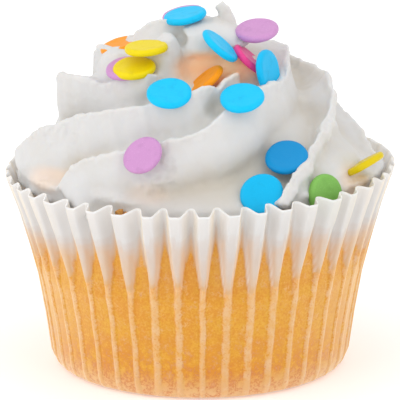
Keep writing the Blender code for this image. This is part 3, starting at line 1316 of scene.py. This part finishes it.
    def ball(self, lump: Lump) -> Body:
        """Makes one lump.

        Args:
            lump: The lump to make.

        Returns:
            The points in metres and the faces of one closed body.
        """
        bm = bmesh.new()
        bmesh.ops.create_uvsphere(bm, u_segments=44, v_segments=28, radius=1.0)
        place = Matrix.Translation(Vector(lump.middle))
        for axis, turn in zip("XYZ", lump.turn):
            place = place @ Matrix.Rotation(math.radians(turn), 4, axis)
        place = place @ Matrix.Diagonal((*lump.half, 1.0))
        for vertex in bm.verts:
            swell = 1.0 + lump.uneven * noise.noise(vertex.co * 1.9 + Vector((3.0 * lump.seed, 0.0, 0.0)))
            vertex.co = place @ (vertex.co * swell)
        points = np.array([tuple(vertex.co) for vertex in bm.verts])
        bm.verts.index_update()
        faces = [tuple(vertex.index for vertex in face.verts) for face in bm.faces]
        bm.free()
        return points * MM, faces

    def tail(self) -> Body:
        """The thin curl pulled up where the nozzle left.

        Returns:
            The points in metres and the faces of one closed body.
        """
        steps, columns = 30, 20
        curl = [(3.5, -0.4, 40.4), (3.55, -0.2, 42.0), (3.3, 0.0, 43.1), (2.85, 0.2, 44.1)]
        curl.append((2.25, 0.5, self.top / MM))
        spine = smooth_curve(curl, steps)
        along = np.linspace(0.0, 1.0, steps)
        widths = np.interp(along, (0.0, 0.3, 0.55, 0.8, 1.0), (1.15, 1.05, 0.92, 0.78, 0.68))
        thick = np.linspace(0.75, 0.32, steps)
        angles = np.linspace(0.0, math.tau, columns, endpoint=False)
        path = np.gradient(spine, axis=0)
        path /= np.linalg.norm(path, axis=1)[:, None]
        side = np.cross(path, np.array([0.0, 1.0, 0.0]))
        side /= np.linalg.norm(side, axis=1)[:, None]
        other = np.cross(path, side)
        rings = []
        for i in range(steps):
            wide = np.outer(np.cos(angles) * widths[i], side[i])
            rings.append(spine[i] + wide + np.outer(np.sin(angles) * thick[i], other[i]))
        return np.vstack(rings) * MM, capped_faces(steps, columns)

    def hood(self) -> Body:
        """The curled cap that hangs over the pit, cut to its torn outline and sloping back at the top.

        Returns:
            The points in metres and the faces of one closed body.
        """
        outline = (
            (-2.1, 42.8), (-1.85, 42.1), (-1.55, 41.3), (-1.9, 40.6), (-2.25, 40.0), (-1.95, 39.3),
            (-0.9, 39.4), (0.3, 39.0), (1.9, 39.2), (3.6, 39.9), (5.5, 40.7), (5.9, 41.5), (4.9, 42.3),
            (3.0, 42.9), (1.0, 43.2), (-1.0, 43.2),
        )
        loop = smooth_curve((*outline, outline[0]), 97)[:-1]
        places = np.stack([loop[:, 0], np.zeros(len(loop)), loop[:, 1]], axis=1)
        wobble = noise_at(places, 0.8, 31.0) * 0.22 + noise_at(places, 2.0, 37.0) * 0.2
        middle = loop.mean(axis=0)
        away = (loop - middle) / np.linalg.norm(loop - middle, axis=1)[:, None]
        loop = loop + away * wobble[:, None]
        rings = []
        steps = ((0.75, 4.4), (1.0, 3.6), (1.0, 0.9), (0.95, 0.4), (0.84, 0.1), (0.6, -0.1), (0.3, -0.15))
        for share, back in steps:
            flat = middle + (loop - middle) * share
            front = np.interp(flat[:, 1], (39.0, 40.5, 42.0, 43.8), (-5.9, -5.9, -5.0, -2.6))
            front = front + 0.10 * np.abs(flat[:, 0])
            rings.append(np.stack([flat[:, 0], front + back, flat[:, 1]], axis=1))
        return np.vstack(rings) * MM, capped_faces(len(rings), len(loop))

    def melt(self) -> bpy.types.Mesh:
        """Joins all the bodies into one skin, and fills and softens where they meet.

        Returns:
            The skin's mesh.
        """
        fins = [self.blade(fin) for fin in self.fins]
        lumps = [self.ball(lump) for lump in self.lumps]
        shape = self.joined([self.core(), *fins, *lumps])
        self.skin(shape, 0.30 * MM)
        self.grow(shape, self.fillet)
        self.skin(shape, 0.28 * MM)
        self.grow(shape, -self.fillet)
        filled = after_modifiers(shape, "icing_filled")
        body = (points_of(filled), [tuple(face.vertices) for face in filled.polygons])
        shape = self.joined([body, self.tail(), self.hood(), *(self.ball(scrap) for scrap in self.scraps)])
        self.skin(shape, self.voxel)
        soft = shape.modifiers.new("soft", "SMOOTH")
        soft.factor = 0.5
        soft.iterations = 2
        return after_modifiers(shape, "icing_swirl")

    def joined(self, bodies: Sequence[Body]) -> bpy.types.Object:
        """Puts closed bodies into one object, each with its outside outward.

        Args:
            bodies: The points in metres and the faces of each body.

        Returns:
            The object.
        """
        points, faces, start = [], [], 0
        for body_points, body_faces in bodies:
            points.append(body_points)
            faces += [tuple(start + i for i in face) for face in body_faces]
            start += len(body_points)
        mesh = mesh_from("icing_bodies", np.vstack(points), faces)
        bm = bmesh.new()
        bm.from_mesh(mesh)
        bmesh.ops.recalc_face_normals(bm, faces=bm.faces)
        bm.to_mesh(mesh)
        bm.free()
        return add_object("icing_bodies", mesh)

    def skin(self, shape: bpy.types.Object, voxel: float) -> None:
        """Wraps one even skin round everything in the object.

        Args:
            shape: The object.
            voxel: The size of the skin's faces, in metres.
        """
        wrap = shape.modifiers.new("skin", "REMESH")
        wrap.mode = "VOXEL"
        wrap.voxel_size = voxel * 1.0
        wrap.use_smooth_shade = True

    def grow(self, shape: bpy.types.Object, distance: float) -> None:
        """Moves the skin outward, or inward when the distance is negative.

        Args:
            shape: The object.
            distance: How far, in metres.
        """
        swell = shape.modifiers.new("swell", "DISPLACE")
        swell.strength = distance
        swell.mid_level = 0.0

    def shelter(self, mesh: bpy.types.Mesh, links: Links) -> np.ndarray:
        """How much of the air around each point the icing itself closes off, from 0 to 1; it drives the painted
        shade.

        Args:
            mesh: The icing's skin.
            links: The skin's edges.

        Returns:
            One value for each point.
        """
        points, normals = points_of(mesh), normals_of(mesh)
        tree = BVHTree.FromPolygons(points.tolist(), [tuple(face.vertices) for face in mesh.polygons])
        random = np.random.default_rng(5)
        closed = np.zeros(len(points))
        for _ in range(self.shelter_rays):
            aim = random.normal(size=(len(points), 3))
            aim /= np.linalg.norm(aim, axis=1)[:, None]
            aim = aim + normals * 1.05
            aim /= np.linalg.norm(aim, axis=1)[:, None]
            starts = points + normals * 0.1 * MM
            for i, (start, ray) in enumerate(zip(starts, aim)):
                if tree.ray_cast(Vector(start), Vector(ray), 12.0 * MM)[0] is not None:
                    closed[i] += 1.0 / self.shelter_rays
        return smoothstep(0.12, 0.75, links.relaxed(closed[:, None], 12)[:, 0])

    def outer_reach(self, height: np.ndarray) -> np.ndarray:
        """How far out the crests reach at a height."""
        heights = np.array([24.0, 27.0, 30.0, 33.0, 36.0, 37.5, 40.0, 45.0]) * MM
        return np.interp(height, heights, np.array([22.5, 21.6, 19.6, 17.6, 15.2, 12.0, 9.0, 4.0]) * MM)

    def nearness(self, points: np.ndarray, fields: Sequence[Lump]) -> np.ndarray:
        """How strongly each point lies within soft-edged fields, from 0 to 1.

        Args:
            points: Rows of X, Y and Z in metres.
            fields: The fields.

        Returns:
            One value for each point.
        """
        strength = np.zeros(len(points))
        for area in fields:
            away = np.linalg.norm((points / MM - np.array(area.middle)) / np.array(area.half), axis=1)
            strength = np.maximum(strength, area.uneven * (1.0 - smoothstep(0.45, 1.25, away)))
        return strength

    def dress(self) -> bpy.types.Object:
        """Gives the skin its torn crests, its fine unevenness, its painted shade and glow, and its finish.

        Returns:
            The finished icing.
        """
        mesh = self.melt()
        points = points_of(mesh)
        normals = normals_of(mesh)
        links = Links(mesh)
        edge = np.sum((points - links.relaxed(points, 14)) * normals, axis=1)
        crest = smoothstep(0.03 * MM, 0.10 * MM, edge)
        torn = np.clip(2.4 * links.relaxed(crest[:, None], 24)[:, 0], 0.0, 1.0)
        patches = smoothstep(-0.1, 0.45, noise_at(points, 4.5 * MM, 51.0))
        torn = np.clip(torn * (0.45 + 0.55 * patches) + self.nearness(points, self.rags), 0.0, 1.0)
        # painted shade: darker and warmer in concave places, in sheltered places and low down between the
        # crests
        wide = np.sum((links.relaxed(points, 160) - points) * normals, axis=1)
        deep = self.outer_reach(points[:, 2]) - np.hypot(points[:, 0], points[:, 1])
        low = 1.0 - 0.8 * smoothstep(27.0 * MM, 33.0 * MM, points[:, 2])
        hollow = 0.35 * smoothstep(0.0 * MM, 0.5 * MM, wide) + 0.5 * self.shelter(mesh, links)
        hollow = np.clip(hollow + 0.7 * low * smoothstep(1.0 * MM, 3.6 * MM, deep), 0.0, 1.0)
        # less painted shade on the left, where the key light falls
        lit = smoothstep(2.0 * MM, -10.0 * MM, points[:, 0]) * smoothstep(28.0 * MM, 31.5 * MM, points[:, 2])
        hollow *= 1.0 - 0.95 * lit
        rough = noise_at(points, 1.6 * MM, 61.0) * 0.5 + noise_at(points, 0.75 * MM, 67.0) * 0.5
        gentle = 0.09 * noise_at(points, 5.0 * MM, 11.0) + 0.05 * noise_at(points, 2.0 * MM, 17.0)
        fine = noise_at(points, 0.7 * MM, 23.0, 2)
        offset = gentle + 0.03 * fine + torn * (0.50 * rough + 0.07 * fine)
        points = points + normals * (offset * MM)[:, None]
        move_points(mesh, points)
        set_attribute(mesh, "hollow", 0.9 * hollow)
        set_attribute(mesh, "torn", torn)
        set_attribute(mesh, "blush", self.nearness(points, self.glows))
        piece = add_piece("icing_swirl", mesh, IcingFinish().material())
        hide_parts("frosting")
        return piece


# ---------------------------------------------------------------- sprinkles


@dataclass(frozen=True)
class Sprinkle:
    """One sugar disc: its middle as azimuth, radius and height, and its facing as azimuth and elevation."""

    sugar: Sugar
    place: Place
    facing: tuple[float, float]
    sunk: float | None = 0.15  # how deep it sits in the icing, in millimetres; None keeps its place as given
    deep: float = 0.0  # how much darker than its kind it is


@dataclass(frozen=True)
class SeenSprinkle:
    """One sugar disc of the front, given as it shows from there.

    Its middle shows across and up from the point that the camera aims at, in millimetres at the cupcake's axis.
    The icing that it would first touch decides how near it is.
    """

    sugar: Sugar
    across: float
    up: float
    narrow: float  # how narrow its tilt makes it look, as a share of its width
    lean: float  # how far the top of its narrow way leans to the left, in degrees
    sink: float = 0.0  # how far it lies behind its first touch, in millimetres
    depth: float | None = None  # its Y in millimetres, where it lies free of what it would touch first
    deep: float = 0.0  # how much darker than its kind it is


@dataclass
class Sprinkles:
    """All the sugar discs, seated on the icing and joined colour by colour."""

    discs: tuple[Sprinkle | SeenSprinkle, ...]
    studio: "Studio"
    radius: float = 2.6
    thickness: float = 0.85
    spokes: int = 56
    lie_flat: float = 0.7  # how far a seated disc turns from its own way to the icing's

    @classmethod
    def scattered(cls, studio: "Studio") -> "Sprinkles":
        """Names where each disc fell.

        Args:
            studio: The studio, whose camera the discs of the front are seen from.

        Returns:
            The discs, those of the front before those of the back.
        """
        front = (
            SeenSprinkle(Sugar.PURPLE, -2.12, 22.94, 0.462, 14, 3.5),
            SeenSprinkle(Sugar.BLUE, -1.85, 22.75, 0.505, 12, -0.15),
            SeenSprinkle(Sugar.PURPLE, 7.04, 20.94, 0.644, 8, 0.1),
            SeenSprinkle(Sugar.ORANGE, -9.82, 19.07, 0.471, 16, depth=0.15),
            SeenSprinkle(Sugar.YELLOW, -6.67, 18.75, 0.481, 4, 0.4),
            SeenSprinkle(Sugar.PURPLE, -9.04, 16.23, 0.649, 6, 0.5),
            SeenSprinkle(Sugar.YELLOW, -8.12, 16.28, 0.649, 6, 0.1),
            SeenSprinkle(Sugar.BLUE, 2.47, 19.02, 0.433, -42),
            SeenSprinkle(Sugar.PINK, 6.18, 17.29, 0.385, -42, depth=-5.8),
            SeenSprinkle(Sugar.BLUE, 8.40, 15.87, 0.615, -83, depth=-8.3, deep=0.2),
            SeenSprinkle(Sugar.BLUE, -3.78, 13.16, 0.793, 0, -0.35),
            SeenSprinkle(Sugar.ORANGE, 0.68, 14.70, 0.423, 40, depth=-8.9),
            SeenSprinkle(Sugar.BLUE, 5.19, 12.60, 0.755, 9),
            SeenSprinkle(Sugar.PURPLE, -7.07, 5.50, 0.825, 42, -0.22),
            SeenSprinkle(Sugar.BLUE, 10.70, 5.25, 0.856, 2, 0.25, deep=0.9),
            Sprinkle(Sugar.BLUE, (291.5, 20.05, 25.9), (270, 33), None, 0.25),
            Sprinkle(Sugar.GREEN, (315.2, 21.1, 24.8), (315, 9), None),
            SeenSprinkle(Sugar.YELLOW, 20.32, 4.45, 0.211, 29.5, 2.5, deep=0.35),
        )
        back = (
            Sprinkle(Sugar.BLUE, (38, 16.0, 32.0), (40, 48)),
            Sprinkle(Sugar.PURPLE, (52, 12.0, 36.5), (40, 62)),
            Sprinkle(Sugar.YELLOW, (75, 16.0, 32.0), (80, 40)),
            Sprinkle(Sugar.ORANGE, (100, 11.0, 38.0), (115, 55)),
            Sprinkle(Sugar.PINK, (118, 17.0, 31.0), (110, 45)),
            Sprinkle(Sugar.GREEN, (128, 14.0, 35.0), (135, 50)),
            Sprinkle(Sugar.BLUE, (143, 18.5, 29.5), (140, 38)),
            Sprinkle(Sugar.PURPLE, (95, 19.5, 27.0), (90, 35)),
            Sprinkle(Sugar.YELLOW, (30, 19.0, 27.5), (30, 42)),
            Sprinkle(Sugar.BLUE, (120, 20.0, 26.5), (125, 40)),
            Sprinkle(Sugar.GREEN, (66, 19.5, 27.2), (60, 40)),
            Sprinkle(Sugar.ORANGE, (60, 8.0, 39.5), (70, 55)),
            Sprinkle(Sugar.PINK, (85, 12.5, 36.0), (85, 50)),
            Sprinkle(Sugar.BLUE, (95, 7.0, 40.5), (95, 60)),
        )
        return cls(front + back, studio)

    def profile(self) -> np.ndarray:
        """Half of a disc's section, from the middle of one face round its edge to the middle of the other.

        Returns:
            Rows of radius and height in millimetres.
        """
        half = self.thickness / 2
        face = [(0.0, 0.90), (0.35, 0.90), (0.62, 0.94), (0.76, 1.0)]
        face += [(0.85, 1.0), (0.92, 0.90), (0.97, 0.66), (1.0, 0.28)]
        upper = [(share * self.radius, rise * half) for share, rise in face]
        return np.array(upper + [(across, -rise) for across, rise in reversed(upper)])

    def disc(self, number: int) -> Body:
        """Makes one slightly uneven disc, lying flat about its middle.

        Args:
            number: The disc's number, which decides how it is uneven.

        Returns:
            The points in millimetres and the faces.
        """
        angles = np.linspace(0.0, math.tau, self.spokes, endpoint=False)
        random = np.random.default_rng(100 + number)
        swell = 1.0 + 0.025 * np.cos(2 * angles + random.uniform(0, math.tau)) + 0.012 * np.cos(
            3 * angles + random.uniform(0, math.tau)
        )
        size = random.uniform(0.97, 1.03)
        outline = self.profile()
        rings = [
            np.stack([size * swell * across * np.cos(angles), size * swell * across * np.sin(angles),
                      np.full(self.spokes, rise)], axis=1)
            for across, rise in outline[1:-1]
        ]
        points = np.vstack([*rings, [[0.0, 0.0, outline[0, 1]]], [[0.0, 0.0, outline[-1, 1]]]])
        faces = [face[::-1] for face in fanned_faces(len(rings), self.spokes)]
        points[:, 2] += 0.045 * noise_at(points, 1.6, 7.0 * number)
        return points, faces

    def first_touch(self, sight: Vector, facing: Vector, icing: BVHTree) -> float:
        """Finds how far from the camera a disc, slid back along a line of sight, meets the icing.

        Args:
            sight: The line of sight through its middle, of length one.
            facing: The way it faces, of length one.
            icing: The icing's surface.

        Returns:
            The distance in metres at which nearly a third of its underside has met the icing, or less where the
            icing would then hide a part of its face.
        """
        side = facing.orthogonal().normalized() * self.radius
        under, over = [], []
        for share in (0.0, 0.35, 0.6, 0.8, 0.97):
            for step in range(24):
                arm = Matrix.Rotation(math.tau * step / 24, 3, facing) @ side * share
                for met, half in ((under, -0.5), (over, 0.5)):
                    start = self.studio.eye() + (arm + facing * half * self.thickness) * MM
                    distance = icing.ray_cast(start, sight)[3]
                    if distance is not None:
                        met.append(distance)
        touch = float(np.percentile(under, 30)) if under else self.studio.distance
        return min(touch, min(over) - 0.03 * MM) if over else touch

    def as_seen(self, disc: SeenSprinkle, icing: BVHTree) -> Matrix:
        """Finds how a disc of the front lies, so that it shows where and as it should.

        Args:
            disc: The disc.
            icing: The icing's surface.

        Returns:
            The disc's place and turn, in millimetres.
        """
        forward, right, up = self.studio.axes()
        eye = self.studio.eye()
        rim = self.thickness / (2 * self.radius)
        tilt = math.atan(rim) + math.acos(min(1.0, disc.narrow / math.hypot(1.0, rim)))
        lean = math.radians(disc.lean)
        facing = (up * math.cos(lean) - right * math.sin(lean)) * math.sin(tilt) - forward * math.cos(tilt)
        aim = (right * disc.across + up * disc.up) * MM
        sight = (forward * self.studio.distance + aim).normalized()
        if disc.depth is not None:
            distance = (disc.depth * MM - eye.y) / sight.y
        else:
            distance = self.first_touch(sight, facing, icing) + disc.sink * MM
        return self.placed((eye + sight * distance) / MM, facing)

    def placed(self, middle: Vector, facing: Vector) -> Matrix:
        """Turns a disc that lies flat to its facing and moves it to its middle, in millimetres."""
        return Matrix.Translation(middle) @ facing.to_track_quat("Z", "Y").to_matrix().to_4x4()

    def seat(self, disc: Sprinkle | SeenSprinkle, icing: BVHTree) -> Matrix:
        """Finds how a disc lies: facing its way, and held by the icing below it.

        Args:
            disc: The disc.
            icing: The icing's surface.

        Returns:
            The disc's place and turn, in millimetres.
        """
        if isinstance(disc, SeenSprinkle):
            return self.as_seen(disc, icing)
        turn, rise = (math.radians(angle) for angle in disc.facing)
        facing = Vector((math.cos(rise) * math.cos(turn), math.cos(rise) * math.sin(turn), math.sin(rise)))
        middle = Vector(cylindrical(np.array(disc.place)))
        if disc.sunk is not None:
            hit, outward = icing.ray_cast((middle + facing * 5.0) * MM, -facing)[:2]
            if hit is not None:
                facing = facing.lerp(outward, self.lie_flat).normalized()
                middle = hit / MM
                middle += facing * (self.rests_at(middle, facing, icing) + self.thickness / 2 - disc.sunk)
        return self.placed(middle, facing)

    def rests_at(self, middle: Vector, facing: Vector, icing: BVHTree) -> float:
        """Finds how far above its middle the icing holds a disc, from points round its edge.

        Args:
            middle: The point of the icing below the disc's middle, in millimetres.
            facing: The way the disc faces, of length one.
            icing: The icing's surface.

        Returns:
            The height, in millimetres along the disc's facing, of the second highest point.
        """
        arm, reach = facing.orthogonal().normalized() * self.radius * 0.85, self.thickness * 3
        heights = [0.0, 0.0]
        for step in range(8):
            above = middle + Matrix.Rotation(math.tau * step / 8, 3, facing) @ arm + facing * reach
            held = icing.ray_cast(above * MM, -facing, 2 * reach * MM)[0]
            if held is not None:
                heights.append((held / MM - middle).dot(facing))
        return sorted(heights)[-2]

    def dress(self, icing: bpy.types.Object) -> None:
        """Seats every disc on the icing and makes one piece of each colour.

        Args:
            icing: The finished icing.
        """
        surface = BVHTree.FromObject(icing, bpy.context.evaluated_depsgraph_get())
        for sugar in Sugar:
            points, faces, deep, start = [], [], [], 0
            for number, disc in enumerate(self.discs):
                if disc.sugar is not sugar:
                    continue
                own_points, own_faces = self.disc(number)
                place = np.array(self.seat(disc, surface))
                points.append(own_points @ place[:3, :3].T + place[:3, 3])
                faces += [tuple(start + i for i in face) for face in own_faces]
                deep += [disc.deep] * len(own_points)
                start += len(own_points)
            name = sugar.value.name
            mesh = mesh_from("sprinkles_" + name, np.vstack(points) * MM, faces)
            set_attribute(mesh, "deep", np.array(deep))
            add_piece("sprinkles_" + name, mesh, sugar.value.material())


# ---------------------------------------------------------------- studio


@dataclass
class Studio:
    """The camera, the soft lights and the pale floor."""

    distance: float = 0.5
    elevation: float = math.radians(15.4)
    aim_height: float = 20.14 * MM
    half_view: float = 24.7 * MM  # half of the width seen at the object
    sensor: float = 36.0

    def axes(self) -> tuple[Vector, Vector, Vector]:
        """The camera's ways forward, to the right and up.

        Returns:
            Three directions of length one.
        """
        forward = Vector((0.0, math.cos(self.elevation), -math.sin(self.elevation)))
        right = Vector((1.0, 0.0, 0.0))
        return forward, right, right.cross(forward)

    def eye(self) -> Vector:
        """Where the camera stands."""
        return Vector((0.0, 0.0, self.aim_height)) - self.axes()[0] * self.distance

    def camera(self) -> None:
        """Aims a long lens slightly down at the middle of the cupcake."""
        data = bpy.data.cameras.new("camera")
        data.sensor_width = self.sensor
        data.lens = self.sensor / 2 * self.distance / self.half_view
        data.clip_start = 0.01
        camera = add_object("camera", data)
        camera.location = self.eye()
        camera.rotation_euler = self.axes()[0].to_track_quat("-Z", "Y").to_euler()
        bpy.context.scene.camera = camera

    def softbox(self, name: str, place: Place, size: float, power: float) -> None:
        """Hangs a square light that faces the cupcake.

        Args:
            name: The light's name.
            place: Where it hangs, in metres.
            size: The length of its side, in metres.
            power: Its power in watts.
        """
        data = bpy.data.lights.new(name, "AREA")
        data.size = size
        data.energy = power
        lamp = add_object(name, data)
        lamp.location = place
        aim = Vector((0.0, 0.0, 0.025)) - Vector(place)
        lamp.rotation_euler = aim.to_track_quat("-Z", "Y").to_euler()

    def build(self) -> None:
        """Sets up the whole studio."""
        self.camera()
        self.softbox("key_light", (-0.70, -0.45, 0.55), 1.0, 2.9)
        self.softbox("fill_light", (0.60, -0.45, 0.55), 0.8, 1.4)
        self.softbox("top_light", (0.05, 0.15, 0.90), 0.8, 0.9)
        world = bpy.data.worlds.new("studio_air")
        world.use_nodes = True
        world.node_tree.nodes["Background"].inputs["Color"].default_value = (1.0, 1.0, 1.0, 1.0)
        world.node_tree.nodes["Background"].inputs["Strength"].default_value = 0.83
        bpy.context.scene.world = world
        bpy.context.scene.view_settings.view_transform = "Standard"
        bm = bmesh.new()
        bmesh.ops.create_grid(bm, x_segments=1, y_segments=1, size=3.0)
        mesh = bpy.data.meshes.new("floor")
        bm.to_mesh(mesh)
        bm.free()
        graph = Graph("pale_floor")
        tone = graph.mixed(graph.clouds(0.2, 2.0), (0.80, 0.80, 0.80), (0.82, 0.82, 0.82))
        mesh.materials.append(
            graph.finish(
                Base_Color=tone,
                Roughness=0.9,
                Specular_IOR_Level=0.1,
                Emission_Color=(1.0, 1.0, 1.0),
                Emission_Strength=0.30,
            )
        )
        floor = add_object("floor", mesh)
        floor.location.z = -0.05 * MM


def main() -> None:
    """Builds the cupcake piece by piece on the frame."""
    logging.basicConfig(level=logging.INFO, format="%(name)s: %(message)s")
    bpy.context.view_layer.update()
    studio = Studio()
    studio.build()
    PaperCase.from_frame().dress()
    Sponge.from_frame().dress()
    Crumbs().dress()
    icing = Icing.from_frame().dress()
    Sprinkles.scattered(studio).dress(icing)


if __name__ == "__main__":
    main()
